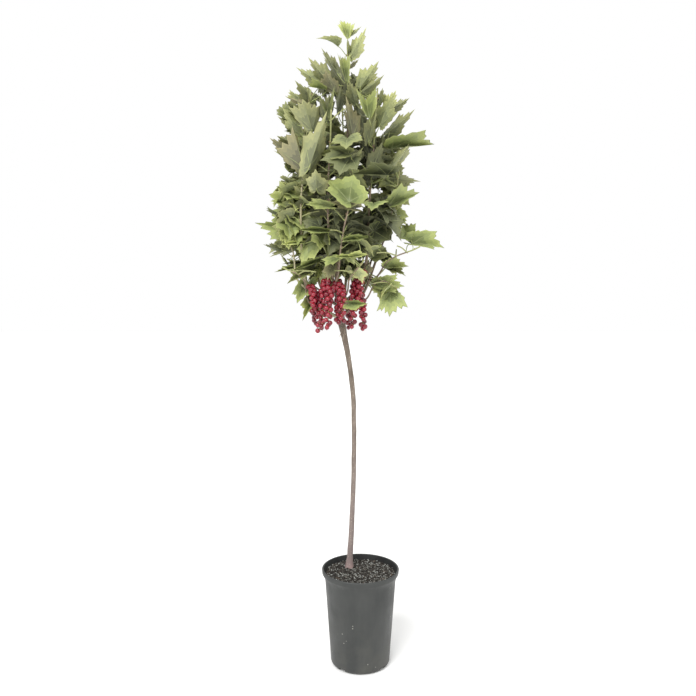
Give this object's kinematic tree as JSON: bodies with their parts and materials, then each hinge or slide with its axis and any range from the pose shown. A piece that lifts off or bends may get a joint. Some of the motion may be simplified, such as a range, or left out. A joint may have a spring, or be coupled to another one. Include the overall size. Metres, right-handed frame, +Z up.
{
  "type": "potted currant bush",
  "caption": "Redcurrant grown as a small standard: one bare stem with a leafy crown and hanging trusses of red berries, in a round dark nursery pot.",
  "frame": {"origin": "middle of the pot's flat underside", "axes": "+Z up along the stem, -Y towards the front of the picture, +X to the right of the picture"},
  "size_m": [0.39, 0.3909, 1.378],
  "materials": {
    "pot": "matte dark grey",
    "soil": "crumbly peat and bark",
    "bark": "grey-brown bark",
    "shoot": "pale young bark",
    "leaf": "matte green",
    "berry": "glossy red"
  },
  "bodies": {
    "root": {"pot": "pot", "potting_soil": "soil", "trunk": "bark", "bough_centre": "shoot", "bough_left": "shoot", "bough_front": "shoot", "bough_right": "shoot", "bough_right_low": "shoot", "bough_back": "shoot", "bough_back_left": "shoot", "bough_back_right": "shoot", "side_left": "shoot", "side_left_low": "shoot", "side_front": "shoot", "side_front_low": "shoot", "side_right": "shoot", "side_right_low": "shoot", "side_back_low": "shoot", "side_back_left_low": "shoot", "leaves_top": "leaf", "leaves_upper_left": "leaf", "leaves_upper_front": "leaf", "leaves_upper_right": "leaf", "leaves_upper_back": "leaf", "leaves_left": "leaf", "leaves_right": "leaf", "leaves_front": "leaf", "leaves_back_left": "leaf", "leaves_back_right": "leaf", "leaves_left_low": "leaf", "leaves_front_low": "leaf", "leaves_right_middle": "leaf", "leaves_right_low": "leaf", "leaves_back_low": "leaf", "leaves_back_left_low": "leaf", "currants_1": "berry", "currants_2": "berry", "currants_3": "berry", "currants_4": "berry", "currants_5": "berry", "currants_6": "berry", "currants_7": "berry", "currants_8": "berry", "currants_9": "berry", "currants_10": "berry", "currants_11": "berry"}
  },
  "joints": []
}
